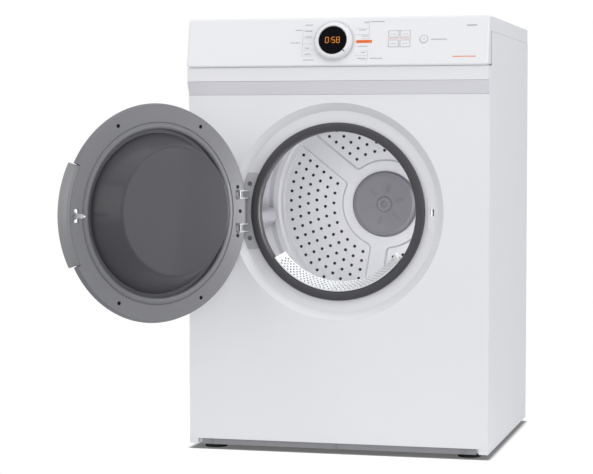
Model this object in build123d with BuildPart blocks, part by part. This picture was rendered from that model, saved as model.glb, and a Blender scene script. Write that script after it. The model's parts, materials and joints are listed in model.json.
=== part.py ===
from build123d import *
import math
import os

# Front-loading vented clothes dryer. Millimetres, +Z up, front towards -Y, origin on the floor at the
# centre of the four feet. Depths along Y are counted from the face of the front panel by at(depth).

# --- driving dimensions ---
WIDTH = 595.0
HEIGHT = 845.0
DEPTH = 530.0
AXIS_Z = 471.0  # drum and door centre above the floor
SHEET = 1.2
GAP = 0.5  # usual gap between a moving piece and its neighbour

# cabinet
SIDE_BOTTOM = 10.0
FRONT_BOTTOM = 21.0
FRONT_TOP = 697.0
TRIM_SPLIT = 723.0
FASCIA_BOTTOM = 750.5
COVER_BOTTOM = 816.0
FASCIA_DEPTH = 24.0
FASCIA_PROUD = 7.0  # fascia face in front of the front panel, at the height of the knob
FASCIA_LEAN = 12.0  # the face of the fascia leans back by this angle
STRIP_PROUD = 12.0
TRAY_BOTTOM = 12.0
TRAY_SHEET = 1.5
TRAY_TALL = 8.6
PLINTH_Z = 15.0
PLINTH_DEPTH = 2.6
PLINTH_SCREW_XS = (-252.0, 0.0, 252.0)

# door recess and opening in the front panel
DISH_OUTER = 210.4
DISH_INNER = 197.0
DISH_DEPTH = 14.0
OPENING_R = 160.0
SEAL_OUTER = 172.5
SEAL_INNER = 155.0
SEAL_FRONT = 2.2

# drum
DRUM_R = 282.0
DRUM_SHEET = 1.0
DRUM_FRONT = 40.0
DRUM_REAR = 468.0
DRUM_LIP_R = 242.0
BACK_DEPTH = 462.0
BACK_SHEET = 1.0
HUB_R = 71.0
POCKET_IN = 92.0
POCKET_OUT = 229.0
POCKET_DEEP = 7.0
SPOKE_W = 32.0  # flat land between two pockets
HOLE_R = 3.4
BULKHEAD_DEPTH = 484.0  # front face of the rear bulkhead's flat middle
FAN_ANGLES = (81.0, 201.0, 321.0)
LIFTER_ANGLES = (66.0, 186.0, 306.0)
SHAFT_R = 10.0
RUNNING = 0.05  # radial clearance of a shaft in its bush

# door, modelled closed and then swung open about the hinge axis
HINGE_X = -191.7
HINGE_DEPTH = -6.3
OPEN_ANGLE = 126.8
RING_FACE = -1.7  # inner face of the closed door's ring
RING_R = 205.0
FLARE_R = 208.0
RING_DEEP = 11.0
BOWL_EDGE = 159.5
BOWL_R = 152.0
BOWL_DISC = 122.5
BOWL_HIGH = 55.5
BOWL_LIFT = 5.0  # the bowl's end disc sits higher, clear of the lint grille
PIN_R = 2.5
PLATE_T = 1.5
KNUCKLES = (32.5, -32.5)  # hinge lug centres above and below the door's centre
LUG_SPAN = 17.0
LATCH_X = 186.0

# controls
KNOB_X = -3.0
KNOB_Z = 798.5
KNOB_R = 37.0
DISPLAY_R = 27.0
BUTTON_XS = (113.7, 136.0)
BUTTON_ZS = (812.0, 793.2)
BUTTON_W = 19.8
BUTTON_H = 13.6
START_X = 172.3
START_Z = 801.2
START_R = 7.8

# drive and air path
MOTOR_X = 150.0
MOTOR_Z = 105.0
MOTOR_SHAFT_R = 6.0
PULLEY_R = 9.0
BELT_DEPTH = 270.0
BELT_W = 8.0
BELT_T = 2.0
BELT_GAP = 0.35
IDLER_R = 15.0
OUTLET_X = -5.0
OUTLET_Z = 88.0
OUTLET_R = 50.0
ARM_PIVOT = (240.0, 84.0)
FEET_X = 255.0
FEET_Y = 222.0
FOOT_R = 22.0
STUD_R = 5.0


def at(depth):
    """Y of a plane that lies this far behind the face of the front panel."""
    return depth - DEPTH / 2


def facing(depth):
    """Plane across the cabinet at a depth: local x is +X, local y is +Z, normal towards the front."""
    return Plane(origin=(0, at(depth), 0), x_dir=(1, 0, 0), z_dir=(0, -1, 0))


def about(depth, x=0.0, z=AXIS_Z):
    """Plane like facing(), centred on a front-to-back axis."""
    return Plane(origin=(x, at(depth), z), x_dir=(1, 0, 0), z_dir=(0, -1, 0))


def axis_of(x=0.0, z=AXIS_Z):
    return Axis((x, 0, z), (0, 1, 0))


def radial(angle):
    """Unit vector away from a front-to-back axis; the angle runs from +Z towards +X."""
    return Vector(math.sin(math.radians(angle)), 0, math.cos(math.radians(angle)))


def section(points, x=0.0, z=AXIS_Z, angle=0.0):
    """Half section of a turned piece, from (depth, radius) points, standing on its axis."""
    plane = Plane(origin=(x, at(0), z), x_dir=(0, 1, 0), z_dir=Vector(0, 1, 0).cross(radial(angle)))
    with BuildSketch(plane) as half:
        with BuildLine():
            Polyline(*points, close=True)
        make_face()
    return half.sketch


def turned(points, x=0.0, z=AXIS_Z):
    """A piece turned about a front-to-back axis from its half section."""
    with BuildPart() as piece:
        revolve(section(points, x, z), axis=axis_of(x, z))
    return piece


def fascia_face():
    """Plane of the leaning fascia face: local y runs up the face from the height of the knob."""
    lean = math.radians(FASCIA_LEAN)
    return Plane(origin=(0, at(-FASCIA_PROUD), KNOB_Z), x_dir=(1, 0, 0),
                 z_dir=(0, -math.cos(lean), math.sin(lean)))


def save(piece, name, swing=0.0, lean=0.0):
    """Label a piece and write it, once a door piece is swung open or a control is leaned back."""
    if lean:
        piece.part = piece.part.rotate(Axis((0, at(-FASCIA_PROUD), KNOB_Z), (1, 0, 0)), -lean)
    if swing:
        piece.part = piece.part.rotate(Axis((HINGE_X, at(HINGE_DEPTH), 0), (0, 0, 1)), swing)
    piece.part.label = name
    export_step(piece.part, f"parts/{name}.step")


# --- cabinet ---
def base_tray():
    with BuildPart() as tray:
        with BuildSketch(Plane.XY.offset(TRAY_BOTTOM)):
            Rectangle(WIDTH - 2 * SHEET - 0.6, DEPTH - 8)
        extrude(amount=TRAY_TALL)
        with BuildSketch(Plane.XY.offset(TRAY_BOTTOM + TRAY_SHEET)):
            Rectangle(WIDTH - 2 * SHEET - 0.6 - 2 * TRAY_SHEET, DEPTH - 8 - 2 * TRAY_SHEET)
        extrude(amount=TRAY_TALL, mode=Mode.SUBTRACT)
        with BuildSketch(Plane.XY.offset(TRAY_BOTTOM)):
            with GridLocations(2 * FEET_X, 2 * FEET_Y, 2, 2):
                Circle(STUD_R + GAP)
        extrude(amount=TRAY_SHEET, mode=Mode.SUBTRACT)
        with BuildSketch(Plane.XY.offset(TRAY_BOTTOM + TRAY_SHEET)):
            with Locations((-90, -60), (-180, 60)):
                SlotOverall(150, 26)
        extrude(amount=4)
    return tray


def side_panel(side):
    """Folded side sheet; side is -1 for the left and +1 for the right."""
    top = COVER_BOTTOM - 0.4
    x_mid = side * (WIDTH / 2 - SHEET / 2)
    with BuildPart() as panel:
        with BuildSketch(Plane.XY.offset(SIDE_BOTTOM)):
            with Locations((x_mid, 0)):
                Rectangle(SHEET, DEPTH - 2 * SHEET)
            with Locations((side * (WIDTH / 2 - 9), -DEPTH / 2 + 1.5 * SHEET + 0.3)):
                Rectangle(18, SHEET)
            with Locations((side * (WIDTH / 2 - 9), DEPTH / 2 - 1.5 * SHEET - 0.3)):
                Rectangle(18, SHEET)
        extrude(amount=top - SIDE_BOTTOM)
        upright = panel.edges().filter_by(Axis.Z)
        fillet(upright.filter_by(lambda edge: abs(abs(edge.center().X) - WIDTH / 2) < 0.1), 0.8)
        with BuildSketch(facing(0)):
            with Locations((side * (WIDTH / 2 - 13), (FASCIA_BOTTOM + top + 1) / 2)):
                Rectangle(26, top + 1 - FASCIA_BOTTOM)
        extrude(amount=-(FASCIA_DEPTH + 0.6), mode=Mode.SUBTRACT)
        with BuildSketch(facing(0)):
            with Locations((side * (WIDTH / 2 - SHEET - 10), (FRONT_TOP + top) / 2)):
                Rectangle(20, top - FRONT_TOP)
        extrude(amount=-4.0, mode=Mode.SUBTRACT)
        with BuildSketch(Plane.YZ.offset(x_mid - side * (SHEET / 2 + 2.0))):
            for z_rib in (180.0, 640.0):
                with Locations((40, z_rib)):
                    SlotOverall(330, 14)
        extrude(amount=side * 2.0)
    return panel


def front_panel():
    """Front sheet with the round door recess, the opening, the latch slot and folded edges."""
    floor = DISH_DEPTH + SHEET
    with BuildPart() as panel:
        with BuildSketch(facing(0)):
            with Locations((0, (FRONT_BOTTOM + FRONT_TOP) / 2)):
                Rectangle(WIDTH - 1.0, FRONT_TOP - FRONT_BOTTOM)
        extrude(amount=-SHEET)
        with BuildSketch(about(0)):
            Circle(DISH_OUTER)
        extrude(amount=-SHEET, mode=Mode.SUBTRACT)
        dish = [
            (0, DISH_OUTER + 2.0), (0, DISH_OUTER), (2.0, DISH_OUTER - 1.5),
            (DISH_DEPTH - 2.0, DISH_INNER + 1.0), (DISH_DEPTH, DISH_INNER - 1.5),
            (DISH_DEPTH, OPENING_R), (DISH_DEPTH + 8.0, OPENING_R),
            (DISH_DEPTH + 8.0, OPENING_R + SHEET), (floor, OPENING_R + SHEET),
            (floor, DISH_INNER - 1.0), (DISH_DEPTH - 1.4, DISH_INNER + 2.2),
            (2.6, DISH_OUTER), (SHEET, DISH_OUTER + 2.0),
        ]
        revolve(section(dish), axis=axis_of())
        for edge_z in (FRONT_BOTTOM + SHEET / 2, FRONT_TOP - SHEET / 2):
            with BuildSketch(facing(0)):
                with Locations((0, edge_z)):
                    Rectangle(WIDTH - 42, SHEET)
            extrude(amount=-16)
        with BuildSketch(about(DISH_DEPTH)):
            with Locations((LATCH_X, 0)):
                RectangleRounded(6.4, 13.0, 1.0)
        extrude(amount=-SHEET, mode=Mode.SUBTRACT)
    return panel


def rear_panel():
    """Rear sheet with the exhaust hole, a gland hole and two fields of louvre slots."""
    with BuildPart() as panel:
        with BuildSketch(facing(DEPTH)):
            with Locations((0, (SIDE_BOTTOM + COVER_BOTTOM) / 2)):
                Rectangle(WIDTH - 3.0, COVER_BOTTOM - SIDE_BOTTOM - 2.0)
        extrude(amount=SHEET)
        with BuildSketch(facing(DEPTH)):
            with Locations((OUTLET_X, OUTLET_Z)):
                Circle(OUTLET_R + 0.6)
            with Locations((210, 700)):
                Circle(9.0)
            with Locations((-150, 640), (150, 560)):
                with GridLocations(0, 16, 1, 7):
                    SlotOverall(110, 6)
        extrude(amount=SHEET, mode=Mode.SUBTRACT)
        with BuildSketch(facing(DEPTH)):
            with Locations((0, 330)):
                RectangleRounded(420, 360, 30)
                RectangleRounded(396, 336, 20, mode=Mode.SUBTRACT)
        extrude(amount=-2.0)
    return panel


def top_cover():
    """Worktop: a shallow tray turned upside down behind the fascia."""
    front = at(FASCIA_DEPTH - 3.0)
    back = DEPTH / 2
    with BuildPart() as cover:
        with BuildSketch(Plane.XY.offset(COVER_BOTTOM)):
            with Locations((0, (front + back) / 2)):
                Rectangle(WIDTH, back - front)
        extrude(amount=HEIGHT - COVER_BOTTOM)
        fillet(cover.edges().filter_by(Axis.Z).group_by(Axis.Y)[-1], 8.0)
        fillet(cover.faces().sort_by(Axis.Z)[-1].edges(), 2.5)
        offset(amount=-2.2, openings=cover.faces().sort_by(Axis.Z)[0])
    return cover


def plinth_strip():
    """Narrow kick strip in front of the base tray, with a lip folded under it."""
    x_mid, wide, thick = 1.5, 547.0, 1.0
    with BuildPart() as strip:
        with BuildSketch(facing(PLINTH_DEPTH)):
            with Locations((x_mid, PLINTH_Z)):
                Rectangle(wide, 11.0)
            with Locations(*[(x, PLINTH_Z) for x in PLINTH_SCREW_XS]):
                Circle(1.6, mode=Mode.SUBTRACT)
        extrude(amount=-thick)
        with BuildSketch(facing(PLINTH_DEPTH)):
            with Locations((x_mid, PLINTH_Z - 5.0)):
                Rectangle(wide, 1.0)
        extrude(amount=-7.0)
    return strip


def plinth_screws():
    """Three cross-head screws through the kick strip."""
    places = [(x, PLINTH_Z) for x in PLINTH_SCREW_XS]
    with BuildPart() as screws:
        with BuildSketch(facing(PLINTH_DEPTH - 1.6)):
            with Locations(*places):
                Circle(3.4)
        extrude(amount=-1.6)
        with BuildSketch(facing(PLINTH_DEPTH - 1.6)):
            with Locations(*places):
                Rectangle(4.4, 0.8)
                Rectangle(0.8, 4.4)
        extrude(amount=-0.8, mode=Mode.SUBTRACT)
        with BuildSketch(facing(PLINTH_DEPTH)):
            with Locations(*places):
                Circle(1.55)
        extrude(amount=-1.2)
    return screws


# --- control panel ---
# The controls are modelled on an upright face, and save() leans them back with the fascia.
def across(outline, wide):
    """A piece with one outline of (depth, height) points all the way across the cabinet."""
    with BuildPart() as piece:
        with BuildSketch(Plane(origin=(-wide / 2, at(0), 0), x_dir=(0, 1, 0), z_dir=(1, 0, 0))):
            with BuildLine():
                Polyline(*outline, close=True)
            make_face()
        extrude(amount=wide)
    return piece.part


def control_panel():
    """Hollow fascia moulding with a leaning face, the knob seat and the button holes."""
    slope = math.tan(math.radians(FASCIA_LEAN))
    low = -FASCIA_PROUD - (KNOB_Z - FASCIA_BOTTOM) * slope
    high = -FASCIA_PROUD + (HEIGHT - KNOB_Z) * slope
    back = FASCIA_DEPTH - 3.4
    outline = [(low, FASCIA_BOTTOM), (high, HEIGHT), (back, HEIGHT), (back, FASCIA_BOTTOM)]
    with BuildPart() as fascia:
        add(across(outline, WIDTH - 1.6))
        fillet(fascia.edges().filter_by(Axis.Y), 6.0)
        fillet(fascia.faces().sort_by(Axis.Y)[0].edges(), 3.6)
        offset(amount=-2.4, openings=fascia.faces().sort_by(Axis.Y)[-1])
        with BuildSketch(fascia_face()):
            with Locations((KNOB_X, 0)):
                Circle(KNOB_R + 2.8)
        extrude(amount=-1.0, mode=Mode.SUBTRACT)
        with BuildSketch(fascia_face()):
            with Locations((KNOB_X, 0)):
                Circle(DISPLAY_R - 5.0)
            with Locations(*[(x, z - KNOB_Z) for x in BUTTON_XS for z in BUTTON_ZS]):
                RectangleRounded(BUTTON_W + 1.0, BUTTON_H + 1.0, 2.0)
            with Locations((START_X, START_Z - KNOB_Z)):
                Circle(START_R + 0.5)
        extrude(amount=-3.0, mode=Mode.SUBTRACT)
    return fascia


def side_relief():
    """Two blocks that cut a full-width piece back where it passes between the side panels."""
    with BuildPart() as blocks:
        with BuildSketch(facing(-0.4)):
            with Locations(*[(side * WIDTH / 2, (FRONT_TOP + FASCIA_BOTTOM) / 2) for side in (-1, 1)]):
                Rectangle(4.0, FASCIA_BOTTOM - FRONT_TOP)
        extrude(amount=-30.0)
    return blocks.part


def trim_strip():
    """White step that runs across under the fascia, proud of the front panel."""
    with BuildPart() as strip:
        with BuildSketch(facing(-STRIP_PROUD)):
            with Locations((0, (TRIM_SPLIT + FASCIA_BOTTOM) / 2)):
                Rectangle(WIDTH - 1.6, FASCIA_BOTTOM - TRIM_SPLIT - 0.6)
        extrude(amount=-STRIP_PROUD - 8.0)
        fillet(strip.edges().filter_by(Axis.Y), 1.2)
        fillet(strip.faces().sort_by(Axis.Y)[0].edges().filter_by(Axis.X), 0.8)
        add(side_relief(), mode=Mode.SUBTRACT)
    return strip


def trim_band():
    """Grey band that slopes back from the step to the top edge of the front panel."""
    low = FRONT_TOP + 0.4
    outline = [(-STRIP_PROUD + 0.3, TRIM_SPLIT), (0.8, low), (16.0, low), (16.0, TRIM_SPLIT)]
    with BuildPart() as band:
        add(across(outline, WIDTH - 1.6))
        add(side_relief(), mode=Mode.SUBTRACT)
    return band


def display_window():
    """Fixed round display in the middle of the knob, on a stem from the fascia."""
    face = -FASCIA_PROUD
    return turned(
        [(face - 12.0, 0), (face - 12.0, DISPLAY_R - 1.0), (face - 11.2, DISPLAY_R), (face - 9.4, DISPLAY_R),
         (face - 9.4, 19.0), (face + 6.0, 19.0), (face + 6.0, 0)],
        KNOB_X, KNOB_Z,
    )


def control_board():
    with BuildPart() as board:
        with BuildSketch(facing(10.0 - FASCIA_PROUD)):
            with Locations((75, 797)):
                Rectangle(260, 62)
        extrude(amount=-1.6)
        with BuildSketch(facing(11.6 - FASCIA_PROUD)):
            with Locations((0, 797)):
                Rectangle(34, 34)
            with Locations((70, 790), (160, 806)):
                Rectangle(22, 14)
        extrude(amount=-7.0)
    return board


def selector_knob():
    """Ring knob that turns about the fixed display."""
    face = -FASCIA_PROUD
    return turned(
        [(face - 10.6, DISPLAY_R + GAP), (face - 12.4, DISPLAY_R + 1.8), (face - 11.6, KNOB_R - 4.4),
         (face - 9.8, KNOB_R - 1.9), (face - 0.4, KNOB_R), (face - 0.4, 21.0), (face - 8.6, 21.0),
         (face - 8.6, DISPLAY_R + GAP)],
        KNOB_X, KNOB_Z,
    )


def button_cap(x, z):
    with BuildPart() as cap:
        with BuildSketch(facing(-FASCIA_PROUD - 0.5)):
            with Locations((x, z)):
                RectangleRounded(BUTTON_W, BUTTON_H, 1.6)
        extrude(amount=-4.6)
        fillet(cap.faces().sort_by(Axis.Y)[0].edges(), 0.35)
    return cap


def start_button():
    with BuildPart() as cap:
        with BuildSketch(facing(-FASCIA_PROUD - 0.7)):
            with Locations((START_X, START_Z)):
                Circle(START_R)
        extrude(amount=-4.8)
        fillet(cap.faces().sort_by(Axis.Y)[0].edges(), 0.5)
    return cap


# --- door opening ---
def door_seal():
    """Rubber ring: a rounded bead on the recess floor and a sleeve through the opening."""
    outer, crest = SEAL_OUTER, SEAL_FRONT
    return turned(
        [(DISH_DEPTH, outer), (crest + 4.4, outer), (crest + 2.0, outer - 1.2), (crest + 0.4, outer - 4.0),
         (crest, outer - 8.0), (crest + 0.5, SEAL_INNER + 4.0), (crest + 2.0, SEAL_INNER + 1.6),
         (crest + 4.5, SEAL_INNER), (25.0, SEAL_INNER), (25.0, OPENING_R - 0.2),
         (DISH_DEPTH, OPENING_R - 0.2)],
    )


def front_bulkhead():
    """Static ring behind the front panel; its felt-faced rear collar carries the front of the drum."""
    collar = DRUM_LIP_R - 0.5
    body = [
        (26.0, 156.5), (36.0, 160.0), (30.0, 166.0), (30.0, collar - 4.0), (62.0, collar - 4.0),
        (62.0, collar),
        (34.0, collar), (34.0, 262.0), (27.0, 262.0), (27.0, 162.0), (26.0, 159.5),
    ]
    with BuildPart() as ring:
        revolve(section(body), axis=axis_of())
        with BuildSketch(about(26.0)):
            with Locations((LATCH_X, 0)):
                Rectangle(20, 38)
        extrude(amount=-10.0, mode=Mode.SUBTRACT)
    return ring


def lint_grille():
    """Perforated ramp at the bottom of the opening, in front of the exhaust duct."""
    start, sweep = 126.0, 108.0
    front_d, rear_d, front_r, rear_r = 5.0, 34.0, 152.4, 137.0
    outline = [
        (front_d, front_r), (rear_d, rear_r), (38.0, rear_r), (38.0, 155.0), (36.0, 155.0),
        (36.0, rear_r + 2.4), (front_d, front_r + 2.2),
    ]
    holes = []
    rows = 5
    for row in range(rows):
        along = (row + 0.8) / (rows + 0.5)
        radius = front_r + (rear_r - front_r) * along
        depth = front_d + (rear_d - front_d) * along
        for step in range(32):
            angle = start + 4.0 + 3.15 * step + 1.57 * (row % 2)
            if angle < start + sweep - 3.5:
                out = radial(angle)
                centre = Vector(0, at(depth), AXIS_Z) + out * radius
                normal = out * (rear_d - front_d) + Vector(0, front_r - rear_r, 0)
                holes.append(Plane(origin=centre, z_dir=normal))
    with BuildPart() as grille:
        revolve(section(outline, angle=start), axis=axis_of(), revolution_arc=sweep)
        with Locations(*holes):
            Cylinder(2.0, 9.0, mode=Mode.SUBTRACT)
    return grille


def hinge_plate():
    """Plate on the recess floor with four lugs that carry the two hinge pins."""
    floor = DISH_DEPTH
    hub = (HINGE_X, at(HINGE_DEPTH))
    with BuildPart() as plate:
        with BuildSketch(about(floor - PLATE_T)):
            with Locations((-172, 0)):
                RectangleRounded(34, 150, 11)
            Circle(DISH_INNER - 2.0, mode=Mode.INTERSECT)
            Circle(SEAL_OUTER + 0.8, mode=Mode.SUBTRACT)
        extrude(amount=-PLATE_T)
        for middle in KNUCKLES:
            for side in (-1, 1):
                base = AXIS_Z + middle + side * (LUG_SPAN / 2 - 1.25) - 1.25
                with BuildSketch(Plane.XY.offset(base)):
                    with BuildLine():
                        Polyline(
                            (-184.5, at(floor - 1.0)), (-176.0, at(floor - 1.0)), (-178.0, at(6.0)),
                            (-187.6, at(HINGE_DEPTH - 2.0)), (-195.8, at(HINGE_DEPTH + 1.5)), close=True,
                        )
                    make_face()
                    with Locations(hub):
                        Circle(4.7)
                extrude(amount=2.5)
        with BuildSketch(Plane.XY.offset(AXIS_Z - 60)):
            with Locations(hub):
                Circle(PIN_R + RUNNING)
        extrude(amount=120, mode=Mode.SUBTRACT)
        with BuildSketch(about(floor - PLATE_T)):
            with Locations((-176, 53.5), (-176, -53.5)):
                Circle(2.6)
        extrude(amount=-PLATE_T, mode=Mode.SUBTRACT)
    return plate


def hinge_screws():
    with BuildPart() as screws:
        with BuildSketch(about(DISH_DEPTH - PLATE_T - 1.5)):
            with Locations((-176, 53.5), (-176, -53.5)):
                Circle(4.6)
        extrude(amount=-1.5)
        fillet(screws.faces().group_by(Axis.Y)[0].edges(), 0.8)
        with BuildSketch(about(DISH_DEPTH - PLATE_T)):
            with Locations((-176, 53.5), (-176, -53.5)):
                Circle(2.55)
        extrude(amount=-PLATE_T)
    return screws


def latch_plate():
    """Thin trim around the latch slot, with its fixing screw below."""
    with BuildPart() as plate:
        with BuildSketch(about(DISH_DEPTH - 0.85)):
            with Locations((LATCH_X - 1.0, -6.5)):
                RectangleRounded(15, 78, 3.0)
            Circle(DISH_INNER - 2.0, mode=Mode.INTERSECT)
            with Locations((LATCH_X, 0)):
                RectangleRounded(6.4, 13.0, 1.0, mode=Mode.SUBTRACT)
        extrude(amount=-0.8)
        with BuildSketch(about(DISH_DEPTH - 2.2)):
            with Locations((LATCH_X - 4.0, -36.0)):
                Circle(3.6)
        extrude(amount=-1.5)
        with BuildSketch(about(DISH_DEPTH - 2.2)):
            with Locations((LATCH_X - 4.0, -36.0)):
                Rectangle(4.6, 0.9)
                Rectangle(0.9, 4.6)
        extrude(amount=-0.7, mode=Mode.SUBTRACT)
    return plate


def latch_catch():
    """Hollow catch behind the recess floor; the door's hook enters it."""
    with BuildPart() as catch:
        with BuildSketch(about(DISH_DEPTH + SHEET)):
            with Locations((LATCH_X, 0)):
                Rectangle(18, 34)
        extrude(amount=-22)
        with BuildSketch(about(DISH_DEPTH + SHEET)):
            with Locations((LATCH_X, 0)):
                Rectangle(8.4, 13.6)
        extrude(amount=-18, mode=Mode.SUBTRACT)
    return catch


# --- door, in its closed place ---
def door_inner_ring():
    """Ring with the screw bosses, the hinge slots, the grip cut-out and a hollow front side."""
    face = RING_FACE
    back = face - RING_DEEP
    body = [
        (face - 1.5, BOWL_EDGE), (face + 0.4, BOWL_EDGE + 0.8), (face + 1.9, BOWL_EDGE + 2.6),
        (face + 2.6, BOWL_EDGE + 5.2), (face + 2.4, BOWL_EDGE + 8.0), (face + 1.4, BOWL_EDGE + 10.4),
        (face, BOWL_EDGE + 11.8), (face - 1.2, BOWL_EDGE + 12.8), (face, BOWL_EDGE + 13.8),
        (face, RING_R - 1.2), (face - 0.6, RING_R), (back, FLARE_R), (back, BOWL_EDGE - 6.0),
        (face - 6.5, BOWL_EDGE - 6.0), (face - 6.5, BOWL_EDGE),
    ]
    hollow = [(face - 3.5, 170.0), (face - 3.5, 199.0), (back, 203.0), (back, 170.0)]
    grip = [(face + 1.0, 199.0), (face + 1.0, 215.0), (back - 1.0, 215.0), (back - 1.0, 199.0)]
    with BuildPart() as ring:
        revolve(section(body), axis=axis_of())
        revolve(section(hollow, angle=302.0), axis=axis_of(), revolution_arc=118.0, mode=Mode.SUBTRACT)
        revolve(section(hollow, angle=120.0), axis=axis_of(), revolution_arc=118.0, mode=Mode.SUBTRACT)
        revolve(section(grip, angle=62.2), axis=axis_of(), revolution_arc=55.2, mode=Mode.SUBTRACT)
        for middle in KNUCKLES:
            with BuildSketch(about(face + 1.0)):
                with Locations((HINGE_X - 3.5, middle)):
                    Rectangle(34, LUG_SPAN + 1.2)
            extrude(amount=RING_DEEP + 2.0, dir=(0, -1, 0), mode=Mode.SUBTRACT)
            with BuildSketch(Plane.XY.offset(AXIS_Z + middle - 12.5)):
                with Locations((HINGE_X, at(HINGE_DEPTH))):
                    Circle(PIN_R)
            extrude(amount=25.0, mode=Mode.SUBTRACT)
        with BuildSketch(about(face)):
            with Locations(*screw_points()):
                Circle(3.6)
        extrude(amount=2.2, dir=(0, -1, 0), mode=Mode.SUBTRACT)
        with BuildSketch(about(face + 1.0)):
            with Locations((LATCH_X - 1.0, 0)):
                RectangleRounded(9.0, 26.0, 1.5)
        extrude(amount=6.0, dir=(0, -1, 0), mode=Mode.SUBTRACT)
    return ring


def screw_points():
    """Seven ring screws: two pairs above and below, three on the hinge side."""
    pitch_r = 189.5
    angles = (60.5, -60.5, 120.0, -120.0, 165.5, -165.5, 180.0)
    return [(pitch_r * math.cos(math.radians(a)), pitch_r * math.sin(math.radians(a))) for a in angles]


def door_screws():
    depth = RING_FACE - 1.4
    with BuildPart() as screws:
        with BuildSketch(about(depth)):
            with Locations(*screw_points()):
                Circle(3.4)
        extrude(amount=0.8, dir=(0, -1, 0))
        with BuildSketch(about(depth)):
            with Locations(*screw_points()):
                Circle(1.3)
        extrude(amount=0.5, dir=(0, -1, 0), mode=Mode.SUBTRACT)
    return screws


def oblique_cone(base_r, end_r, base_depth, end_depth):
    """Solid from a circle at the ring to a smaller, raised circle towards the drum."""
    with BuildPart() as cone:
        with BuildSketch(about(base_depth)):
            Circle(base_r)
        with BuildSketch(about(end_depth, z=AXIS_Z + BOWL_LIFT)):
            Circle(end_r)
        loft()
    return cone.part


def door_bowl():
    """Deep smoked bowl that reaches into the drum opening, with a flange behind the ring."""
    base = RING_FACE - 6.4
    edge = BOWL_EDGE - 0.2
    rim = [(base, edge), (base + 1.6, edge), (base + 1.6, BOWL_R - 1.0), (base, BOWL_R - 1.0)]
    outer = oblique_cone(BOWL_R + 1.0, BOWL_DISC, base, RING_FACE + BOWL_HIGH)
    inner = oblique_cone(BOWL_R - 1.8, BOWL_DISC - 3.0, base, RING_FACE + BOWL_HIGH - 3.0)
    with BuildPart() as bowl:
        add(outer)
        fillet(bowl.faces().sort_by(Axis.Y)[-1].edges(), 7.0)
        add(inner, mode=Mode.SUBTRACT)
        revolve(section(rim), axis=axis_of())
    return bowl


def door_outer_ring():
    """Outer door frame, a shallow cone behind the inner ring, cut away at the grip."""
    back = RING_FACE - RING_DEEP - 0.2
    edge = FLARE_R - 1.2
    body = [
        (back, edge), (back - 1.0, edge), (back - 2.0, edge - 2.4), (back - 3.9, 198.5),
        (back - 6.8, 189.0),
        (back - 8.6, 184.0), (back - 5.9, 184.0), (back - 4.4, 189.0), (back - 1.8, 197.5),
        (back - 0.9, 202.0),
        (back, 202.0),
    ]
    grip = [(back + 1.0, 198.6), (back + 1.0, 215.0), (back - 15.0, 215.0), (back - 15.0, 198.6)]
    with BuildPart() as ring:
        revolve(section(body), axis=axis_of())
        revolve(section(grip, angle=61.8), axis=axis_of(), revolution_arc=56.0, mode=Mode.SUBTRACT)
    return ring


def door_window():
    """Domed outer pane in the middle of the outer frame."""
    rim_r, rim_d, top_d, thick = 183.7, -21.4, -36.0, 3.0
    rise = rim_d - top_d
    ball = (rim_r ** 2 + rise ** 2) / (2 * rise)
    lean = math.asin(rim_r / ball)

    def on_ball(radius, angle):
        return top_d + ball - radius * math.cos(angle), radius * math.sin(angle)

    outer, inner = ball, ball - thick
    with BuildPart() as pane:
        with BuildSketch(Plane(origin=(0, at(0), AXIS_Z), x_dir=(0, 1, 0), z_dir=(1, 0, 0))) as half:
            with BuildLine():
                ThreePointArc(on_ball(outer, lean), on_ball(outer, lean / 2), on_ball(outer, 0))
                Line(on_ball(outer, 0), on_ball(inner, 0))
                ThreePointArc(on_ball(inner, 0), on_ball(inner, lean / 2), on_ball(inner, lean))
                Line(on_ball(inner, lean), on_ball(outer, lean))
            make_face()
        revolve(half.sketch, axis=axis_of())
    return pane


def door_handle():
    """Curved grip at the free side of the door, with a finger scoop towards the cabinet."""
    face = RING_FACE - 0.3
    outline = [
        (face, 199.3), (face - 9.0, 201.0), (face - 14.0, 205.0), (face - 20.0, 210.5),
        (face - 23.0, 211.5),
        (face - 24.5, 209.5), (face - 21.0, 199.3),
    ]
    with BuildPart() as grip:
        revolve(section(outline, angle=62.4), axis=axis_of(), revolution_arc=54.8)
    return grip


def latch_hook():
    """Metal tongue with a barbed tip that snaps into the catch."""
    base = RING_FACE - 5.0
    tip = 27.5
    with BuildPart() as hook:
        with BuildSketch(about(base)):
            with Locations((LATCH_X - 1.0, 0)):
                RectangleRounded(8.6, 25.4, 1.6)
        extrude(amount=2.0, dir=(0, 1, 0))
        side = Plane(origin=(LATCH_X - 1.3, at(0), AXIS_Z), x_dir=(0, 1, 0), z_dir=(1, 0, 0))
        with BuildSketch(side):
            with BuildLine():
                Polyline(
                    (base, 9.0), (base + 4.0, 5.0), (15.5, 3.2), (17.0, 4.4), (tip, 1.2), (tip, -1.2),
                    (17.0, -4.4), (15.5, -3.2), (base + 4.0, -5.0), (base, -9.0), close=True,
                )
            make_face()
        extrude(amount=2.6)
    return hook


def hinge_pins():
    with BuildPart() as pins:
        for middle in KNUCKLES:
            with BuildSketch(Plane.XY.offset(AXIS_Z + middle - 12.5)):
                with Locations((HINGE_X, at(HINGE_DEPTH))):
                    Circle(PIN_R)
            extrude(amount=25.0)
    return pins


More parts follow.
